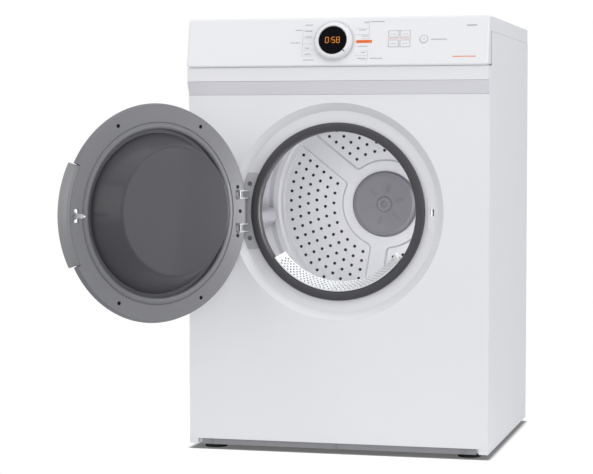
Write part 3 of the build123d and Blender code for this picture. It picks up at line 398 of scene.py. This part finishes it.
# ---- finishes of the record's material slots ----
finishes = {
    "white_steel": dict(colour=(0.82, 0.82, 0.845), roughness=0.36, coat=0.2, grainScale=700, bump=0.05,
                        drift=0.015),
    "white_plastic": dict(colour=(0.82, 0.82, 0.835), roughness=0.3, grainScale=1100, bump=0.03,
                          drift=0.012),
    "grey_band": dict(colour=(0.77, 0.765, 0.8), roughness=0.42, grainScale=1200, bump=0.05, drift=0.02),
    "grey_trim": dict(colour=(0.26, 0.26, 0.28), roughness=0.45, grainScale=900, bump=0.08),
    "galvanised": dict(colour=(0.56, 0.57, 0.58), roughness=0.38, metallic=1.0, grainScale=60, bump=0.1,
                       drift=0.25, driftScale=45),
    "screw_steel": dict(colour=(0.32, 0.32, 0.33), roughness=0.3, metallic=1.0, grainScale=1500, bump=0.1),
    "display_black": dict(colour=(0.003, 0.003, 0.004), roughness=0.35, specular=0.05, grainScale=900,
                          bump=0.01, drift=0.1),
    "board_green": dict(colour=(0.03, 0.16, 0.07), roughness=0.45, grainScale=300, bump=0.2, drift=0.3,
                        driftScale=60),
    "seal_rubber": dict(colour=(0.052, 0.051, 0.058), roughness=0.42, grainScale=1300, bump=0.1,
                        drift=0.15, specular=0.45),
    "collar_plastic": dict(colour=(0.66, 0.67, 0.68), roughness=0.4, grainScale=900, bump=0.06, drift=0.03),
    "hinge_grey": dict(colour=(0.55, 0.55, 0.57), roughness=0.4, grainScale=800, bump=0.06),
    "dark_plastic": dict(colour=(0.02, 0.02, 0.022), roughness=0.5, grainScale=900, bump=0.12),
    "bearing_bronze": dict(colour=(0.5, 0.33, 0.16), roughness=0.32, metallic=1.0, grainScale=900,
                           bump=0.1),
    "motor_metal": dict(colour=(0.4, 0.41, 0.42), roughness=0.42, metallic=1.0, grainScale=700, bump=0.15),
    "belt_rubber": dict(colour=(0.012, 0.012, 0.012), roughness=0.65, grainScale=900, bump=0.25),
    "knob_white": dict(colour=(0.80, 0.80, 0.81), roughness=0.3, grainScale=1100, bump=0.03, drift=0.012),
    "door_grey": dict(colour=(0.185, 0.185, 0.2), roughness=0.4, grainScale=1000, bump=0.08, drift=0.05),
    "dark_screw": dict(colour=(0.02, 0.02, 0.022), roughness=0.35, metallic=0.6, grainScale=1500, bump=0.1),
    "smoked_bowl": dict(colour=(0.066, 0.065, 0.073), roughness=0.4, specular=0.3, coat=0.12,
                        coatRoughness=0.06, grainScale=40, bump=0.015, drift=0.12),
    "smoked_pane": dict(colour=(0.02, 0.02, 0.023), roughness=0.07, coat=0.8, grainScale=30, bump=0.01,
                        drift=0.15),
    "grip_silver": dict(colour=(0.3, 0.3, 0.31), roughness=0.36, metallic=0.35, grainScale=1200, bump=0.05),
    "bright_metal": dict(colour=(0.85, 0.85, 0.86), roughness=0.3, metallic=0.55, grainScale=1500,
                         bump=0.06, drift=0.1),
    "drum_steel": dict(colour=(0.7, 0.7, 0.72), roughness=0.44, metallic=0.45, round=700, bump=0.1,
                       drift=0.06, driftScale=9, centre=tuple(drumCentre)),
    "lifter_plastic": dict(colour=(0.5, 0.5, 0.52), roughness=0.35, grainScale=900, bump=0.05),
    "hub_grey": dict(colour=(0.2, 0.198, 0.215), roughness=0.38, grainScale=1000, bump=0.08),
    "foot_plastic": dict(colour=(0.015, 0.015, 0.016), roughness=0.6, grainScale=700, bump=0.2),
}
slotMaterials = {slot: finishMaterial(slot, look) for slot, look in finishes.items()}

# nodes whose finish differs from the slot the record gives them; the rear bulkhead's darker metal is painted shade
# for the unlit space behind the drum
finishAndShadeSwaps = {"hinge_pins": "screw_steel", "rear_bulkhead": "motor_metal"}


def dressNodes():
    for part in frame["record"]["subparts"]:
        slot = finishAndShadeSwaps.get(part["node"], part["material_slot"])
        piece = nodes[part["node"]]
        piece.data.materials.clear()
        piece.data.materials.append(slotMaterials[slot])


# ---- piece helpers ----
def addPiece(name, bm, material, body, smooth=None):
    bmesh.ops.recalc_face_normals(bm, faces=bm.faces)
    mesh = bpy.data.meshes.new(name)
    bm.to_mesh(mesh)
    bm.free()
    if smooth is not None:
        mesh.shade_smooth()
        mesh.set_sharp_from_angle(angle=math.radians(smooth))
    mesh.materials.append(material)
    piece = bpy.data.objects.new(name, mesh)
    scene.collection.objects.link(piece)
    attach(piece, body)


def addBar(bm, centre, size, turn=0.0):
    # a small block, turned in place about the front-to-back axis
    made = bmesh.ops.create_cube(bm, size=1.0)["verts"]
    bmesh.ops.scale(bm, verts=made, vec=size)
    if turn:
        bmesh.ops.rotate(bm, verts=made, cent=(0, 0, 0), matrix=Matrix.Rotation(turn, 3, "Y"))
    bmesh.ops.translate(bm, verts=made, vec=centre)


def turnVerts(bm, verts, degrees, axis):
    turn = Matrix.Rotation(math.radians(degrees), 3, axis)
    bmesh.ops.rotate(bm, verts=verts, cent=(0, 0, 0), matrix=turn)


def addAnnulus(bm, centre, inner, outer, segments=64):
    # a flat ring that faces the front
    rim = bmesh.ops.create_circle(bm, cap_ends=False, segments=segments, radius=inner)["verts"]
    edges = [e for e in bm.edges if all(v in rim for v in e.verts)]
    extruded = bmesh.ops.extrude_edge_only(bm, edges=edges)["geom"]
    grown = [g for g in extruded if isinstance(g, bmesh.types.BMVert)]
    bmesh.ops.scale(bm, verts=grown, vec=(outer / inner, outer / inner, 1))
    both = rim + grown
    turnVerts(bm, both, 90, "X")
    bmesh.ops.translate(bm, verts=both, vec=centre)


# ---- prints on the fascia ----
prints = {
    "proud": 0.00012,
    "lineHeight": 0.0013,
    "lineWidth": 0.00045,
    # widths of a word's strokes in millimetres, taken in turn
    "strokeWidths": (1.5, 0.9, 1.2, 1.7, 0.8, 1.1),
    "shortestStroke": 0.0006,
    # the share of a stroke that is inked, and how much lower every other stroke is
    "inked": 0.8,
    "lowStroke": 0.75,
    "greyInk": (0.26, 0.26, 0.29),
    "paleInk": (0.44, 0.44, 0.48),
    "rustInk": (0.5, 0.06, 0.01),
    "orangeInk": (0.85, 0.17, 0.02),
}
onFace = -prints["proud"]


def inkMaterial(name, colour):
    look = dict(colour=colour, roughness=0.5, grainScale=2500, bump=0.1, drift=0.15, driftScale=300)
    return finishMaterial(name, look)


def addPrint(name, bm, material, body):
    # prints are drawn flat about the middle of the knob, then leaned onto the fascia
    bmesh.ops.transform(bm, matrix=fasciaFace, verts=bm.verts)
    addPiece(name, bm, material, body)


def printedWord(bm, x, z, width, height=None):
    # a word drawn as short strokes of uneven width, which spell nothing
    high = height or prints["lineHeight"]
    at = x
    step = 0
    widths = prints["strokeWidths"]
    while at < x + width - prints["shortestStroke"]:
        run = min(widths[step % len(widths)] * mm, x + width - at)
        tall = high * (prints["lowStroke"], 1)[step % 2]
        addBar(bm, (at + run / 2, onFace, z), (run * prints["inked"], prints["proud"], tall))
        at += run
        step += 1


def addRule(bm, x, z, long, upright=False):
    # a fine printed line from (x, z), along the fascia or up it
    thick = prints["lineWidth"]
    if upright:
        addBar(bm, (x, onFace, z + long / 2), (thick, prints["proud"], long))
    else:
        addBar(bm, (x + long / 2, onFace, z), (long, prints["proud"], thick))


# the program table round the knob, in millimetres from the knob's centre
program = {
    # left end, height, width
    "words": [
        (-58, 33, 16), (-58, 21, 14), (-57, 9.5, 13), (-57, -12.5, 8), (-57, -24.5, 12), (-60, -36, 22),
        (-77, 23, 14), (-86, -2, 19),
        (58, 36, 10), (48, 22, 15), (54, 10, 13), (47, -10, 20), (54, -22, 9), (47, -34, 18),
        (70, 38, 28), (72, -34, 24),
    ],
    # the upright's place across, its foot and its length, then the rungs: height, left end, right end
    "brackets": [
        ((-62, -28, 50), [(22, -62, -42), (7, -62, -38), (-4, -62, -42), (-16, -62, -38), (-28, -62, -42)]),
        ((68.5, 5, 33), [(38, 60, 68.5), (24.5, 40, 68.5), (13, 42, 68.5), (5, 54, 68.5)]),
        ((67.5, -37, 18), [(-19, 60, 67.5), (-28.5, 42, 67.5), (-37, 52, 67.5)]),
    ],
    "scale": {"radius": 41.5, "dashes": 60, "long": 2.6, "thick": 0.35},
    "pill": {"middle": 59.5, "height": -0.8, "long": 31, "tall": 6.0, "corner": 1.1},
    "arrow": {"middle": 41.5, "size": 1.4},
    "pillWord": {"from": 45, "gap": 0.5, "tall": 1.5, "inked": 0.82,
                 "runs": (3.2, 2.2, 4.0, 2.6, 3.4, 2.0, 3.0)},
}


def buildProgramPrint():
    words, rules, orange, rust = bmesh.new(), bmesh.new(), bmesh.new(), bmesh.new()
    for dx, dz, wide in program["words"]:
        printedWord(words, dx * mm, dz * mm, wide * mm)
    # brackets with rungs that reach to the scale round the knob
    for (across, foot, tall), rungs in program["brackets"]:
        addRule(rules, across * mm, foot * mm, tall * mm, upright=True)
        for dz, left, right in rungs:
            addRule(rules, left * mm, dz * mm, (right - left) * mm)
    # scale arc round the knob's seat, in short dashes
    scale = program["scale"]
    for step in range(scale["dashes"]):
        turn = 2 * math.pi * step / scale["dashes"]
        centre = (scale["radius"] * mm * math.sin(turn), onFace, scale["radius"] * mm * math.cos(turn))
        addBar(rules, centre, (scale["long"] * mm, prints["proud"], scale["thick"] * mm), turn=turn)
    # the highlighted program: a filled lozenge with a small arrow beside it and a darker word on it
    pill = program["pill"]
    level = pill["height"] * mm
    addBar(orange, (pill["middle"] * mm, onFace, level),
           (pill["long"] * mm, prints["proud"], pill["tall"] * mm))
    corners = [e for e in orange.edges if abs(e.verts[0].co.y - e.verts[1].co.y) > prints["proud"] * 0.5]
    bmesh.ops.bevel(orange, geom=corners, offset=pill["corner"] * mm, offset_type="OFFSET", segments=4,
                    profile=0.5, affect="EDGES", material=-1)
    arrow = program["arrow"]
    tip = bmesh.ops.create_circle(orange, cap_ends=True, segments=3, radius=arrow["size"] * mm)["verts"]
    turnVerts(orange, tip, 90, "X")
    turnVerts(orange, tip, 90, "Y")
    bmesh.ops.translate(orange, verts=tip, vec=(arrow["middle"] * mm, onFace, level))
    word = program["pillWord"]
    at = word["from"] * mm
    for run in word["runs"]:
        addBar(rust, (at + run * mm / 2, onFace - prints["proud"] * 0.6, level),
               (run * word["inked"] * mm, prints["proud"] * 0.4, word["tall"] * mm))
        at += (run + word["gap"]) * mm
    addPrint("programWords", words, greyInk, "cabinet")
    addPrint("programRules", rules, paleInk, "cabinet")
    addPrint("programPill", orange, orangeInk, "cabinet")
    addPrint("pillWord", rust, rustInk, "cabinet")


# soft keys, the start button and the notes beside them, in metres
keys = {
    "inset": 0.0012,
    "frame": Vector((0.0099, 0, 0.0068)),
    "dashes": 4,
    # the share of a dash that is inked, along a key's long sides and up its short ones
    "dashInked": (0.72, 0.8),
    "front": -0.0005,
    # the word on a key: how far left it starts, its drop, its height, and its strokes in millimetres
    "word": {"left": 0.0055, "drop": 0.0006, "tall": 0.0012, "gap": 0.0004, "runs": (2.4, 1.8, 3.0, 2.0)},
    # the dotted line between the two rows
    "dots": {"beyond": 0.013, "pitch": 0.0021, "long": 0.0014, "tall": 0.0006},
    "startFront": -0.0007,
    "startRing": (0.0064, 0.0069),
    "startMark": {"aside": 0.0012, "wide": 0.0008, "tall": 0.0034},
    # notes: offset across and up from the start button, width, height
    "startNote": (0.0135, -0.0008, 0.031, 0.0022),
    # notes at the right: place across, then as above
    "upperNote": (0.2565, 0.0258, 0.020, 0.0030),
    "lowerNote": (0.2315, -0.0345, 0.045, 0.0020),
}


def addFrameLine(bm, cx, cz, front):
    # outline of a soft key, drawn as strokes with gaps between them
    wide, tall = keys["frame"].x - keys["inset"], keys["frame"].z - keys["inset"]
    thick = prints["lineWidth"]
    dashes = keys["dashes"]
    alongInked, upInked = keys["dashInked"]
    for side in (-1, 1):
        for run in range(dashes):
            share = (run + 0.5) / dashes * 2 - 1
            size = (2 * wide / dashes * alongInked, prints["proud"], thick)
            addBar(bm, (cx + share * wide, front, cz + side * tall), size)
        for share in (-0.5, 0.5):
            size = (thick, prints["proud"], tall * upInked)
            addBar(bm, (cx + side * wide, front, cz + share * tall), size)


def buildButtonPrint():
    options = [f"option_button_{number}" for number in range(1, 5)]
    toFace = fasciaFace.inverted()
    places = {button: toFace @ centreOf(button) for button in options + ["start_button"]}
    word = keys["word"]
    front = keys["front"] - prints["proud"] / 2
    for number, button in enumerate(options, 1):
        spot = places[button]
        outline, strokes = bmesh.new(), bmesh.new()
        addFrameLine(outline, spot.x, spot.z, front)
        at = spot.x - word["left"]
        for run in word["runs"]:
            addBar(strokes, (at + run * mm / 2, front, spot.z - word["drop"]),
                   (run * mm * prints["inked"], prints["proud"], word["tall"]))
            at += run * mm + word["gap"]
        addPrint(f"buttonFrame{number}", outline, paleInk, button)
        addPrint(f"buttonWord{number}", strokes, paleInk, button)
    orange, grey = bmesh.new(), bmesh.new()
    dots = keys["dots"]
    middle = (places["option_button_1"].z + places["option_button_3"].z) / 2
    x = places["option_button_1"].x - dots["beyond"]
    while x < places["option_button_2"].x + dots["beyond"]:
        addBar(orange, (x, onFace, middle), (dots["long"], prints["proud"], dots["tall"]))
        x += dots["pitch"]
    start = places["start_button"]
    across, up, width, height = keys["startNote"]
    printedWord(grey, start.x + across, start.z + up, width, height)
    across, up, width, height = keys["upperNote"]
    printedWord(grey, across, start.z + up, width, height)
    across, up, width, height = keys["lowerNote"]
    printedWord(orange, across, start.z + up, width, height)
    addPrint("noteOrange", orange, orangeInk, "cabinet")
    addPrint("noteGrey", grey, paleInk, "cabinet")
    front = keys["startFront"] - prints["proud"] / 2
    ring, strokes = bmesh.new(), bmesh.new()
    addAnnulus(ring, (start.x, front, start.z), *keys["startRing"])
    mark = keys["startMark"]
    for side in (-1, 1):
        addBar(strokes, (start.x + side * mark["aside"], front, start.z),
               (mark["wide"], prints["proud"], mark["tall"]))
    addPrint("startRing", ring, paleInk, "start_button")
    addPrint("startMark", strokes, paleInk, "start_button")


# ---- display digits and knob pointer ----
display = {
    "proud": 0.012,
    "from": -0.0140,
    "digit": (0.0060, 0.0108),
    "stroke": 0.0009,
    # from one digit's right edge to the next sign
    "gap": 0.0032,
    "colonDot": (0.0008, 0.0026),
    "colonWidth": 0.0034,
    "amber": (0.75, 0.27, 0.03),
    "roughness": 0.4,
    "glow": 0.3,
    "glowDrift": (0.25, 300.0),
}
# seven strokes: top, top right, bottom right, bottom, bottom left, top left, middle
strokesOf = {"0": "1111110", "5": "1011011", "8": "1111111"}


def buildDigits():
    wide, tall = display["digit"]
    stroke = display["stroke"]
    face = -display["proud"] - prints["proud"] / 2
    bars = [(0, tall / 2, 1), (wide / 2, tall / 4, 0), (wide / 2, -tall / 4, 0), (0, -tall / 2, 1),
            (-wide / 2, -tall / 4, 0), (-wide / 2, tall / 4, 0), (0, 0, 1)]
    flatBar = (wide - stroke, prints["proud"], stroke)
    uprightBar = (stroke, prints["proud"], tall / 2 - stroke * 0.6)
    bm = bmesh.new()
    x = display["from"]
    for sign in ("0", ":", "5", "8"):
        if sign == ":":
            dx, rise = display["colonDot"]
            for dz in (-rise, rise):
                addBar(bm, (x + dx, face, dz), (stroke, prints["proud"], stroke))
            x += display["colonWidth"]
            continue
        for (dx, dz, flat), on in zip(bars, strokesOf[sign]):
            if on == "1":
                addBar(bm, (x + wide / 2 + dx, face, dz), flatBar if flat else uprightBar)
        x += wide + display["gap"]
    material, tree, shader = newMaterial("amberDigits")
    amber = (*display["amber"], 1)
    drift, scale = display["glowDrift"]
    shader.inputs["Base Color"].default_value = amber
    shader.inputs["Roughness"].default_value = display["roughness"]
    shader.inputs["Emission Strength"].default_value = display["glow"]
    place = newNode(tree, "TexCoord")
    tone = addGroup(tree, toneDrift, Color=amber, Drift=drift, Scale=scale)
    tree.links.new(place.outputs["Object"], tone.inputs["Vector"])
    tree.links.new(tone.outputs["Color"], shader.inputs["Emission Color"])
    addPrint("displayDigits", bm, material, "cabinet")


# the mark on the selector ring: how far out, its depth on the ring's face, its size
pointer = {"degrees": -43, "reach": 0.0308, "depth": -0.0121, "size": (0.0048, 0.0006, 0.0016)}


def buildKnobPointer():
    angle = math.radians(pointer["degrees"])
    reach = pointer["reach"]
    bm = bmesh.new()
    centre = (reach * math.cos(angle), pointer["depth"], reach * math.sin(angle))
    addBar(bm, centre, pointer["size"], turn=-angle)
    addPrint("knobPointer", bm, slotMaterials["dark_plastic"], "selector_knob")


# ---- painted shade: dark sheets seen through perforations ----
shadeSheets = {
    # a dark disc behind the drum's back, painted shade seen through its holes: depth, inner and outer radius
    "drum": {"depth": 0.2062, "radii": (0.084, 0.226), "sides": 96},
    # the dark band under the grille, painted shade seen through the grille's holes: depth and radius of its two
    # edges, then where it starts and how far it goes round, in degrees
    "grilleShade": {"ends": ((-0.2595, 0.15485), (-0.2300, 0.14060)), "from": 126.0, "sweep": 108.0,
               "steps": 48},
    "smooth": 40,
}


def buildShadeSheets():
    discShade, bandShade = shadeSheets["drum"], shadeSheets["grilleShade"]
    # a dark disc behind the drum's perforated back, painted shade seen through its holes
    shadeDisc = bmesh.new()
    addAnnulus(shadeDisc, (drumCentre.x, discShade["depth"], drumCentre.z), *discShade["radii"], discShade["sides"])
    addPiece("drumShadeDisc", shadeDisc, slotMaterials["belt_rubber"], "drum")
    # one slanting line swept round the opening, the dark band of painted shade under the grille
    sheet = bmesh.new()
    turn = math.radians(bandShade["from"])
    ends = [sheet.verts.new((drumCentre.x + r * math.sin(turn), y, drumCentre.z + r * math.cos(turn)))
            for y, r in bandShade["ends"]]
    edge = sheet.edges.new(ends)
    bmesh.ops.spin(sheet, geom=ends + [edge], cent=(drumCentre.x, 0, drumCentre.z), axis=(0, 1, 0),
                   angle=math.radians(bandShade["sweep"]), steps=bandShade["steps"])
    addPiece("lintShadeBand", sheet, slotMaterials["dark_screw"], "cabinet", smooth=shadeSheets["smooth"])


# ---- painted shade rings round the screws on the door ring ----
shadeRings = {"radii": (0.0016, 0.0037), "face": -0.26655, "sides": 24}


def looseParts(mesh):
    # centre of each separate lump of a mesh
    bm = bmesh.new()
    bm.from_mesh(mesh)
    seen = set()
    centres = []
    for first in bm.verts:
        if first in seen:
            continue
        seen.add(first)
        lump, queue = [], [first]
        while queue:
            vert = queue.pop()
            lump.append(vert)
            for edge in vert.link_edges:
                other = edge.other_vert(vert)
                if other not in seen:
                    seen.add(other)
                    queue.append(other)
        centres.append(sum((v.co for v in lump), Vector()) / len(lump))
    bm.free()
    return centres


def buildScrewShadeRings():
    screws = nodes["door_screws"]
    back = doorTurn.inverted()
    bm = bmesh.new()
    for spot in looseParts(screws.data):
        shut = back @ (screws.matrix_world @ spot)
        # a flat dark ring round each screw, painted shade of a screw recess
        addAnnulus(bm, (shut.x, shadeRings["face"], shut.z), *shadeRings["radii"], shadeRings["sides"])
    bmesh.ops.transform(bm, matrix=doorTurn, verts=bm.verts)
    addPiece("screwShadeRings", bm, slotMaterials["dark_screw"], "door")


# ---- everything in order ----
buildCamera()
buildLights()
buildFloor()
print("studio ready")
dressNodes()
inks = ("greyInk", "paleInk", "orangeInk", "rustInk")
greyInk, paleInk, orangeInk, rustInk = [inkMaterial(name, prints[name]) for name in inks]
buildProgramPrint()
buildButtonPrint()
buildDigits()
buildKnobPointer()
print("fascia details built")
buildShadeSheets()
buildScrewShadeRings()
print("liners and screw wells built")
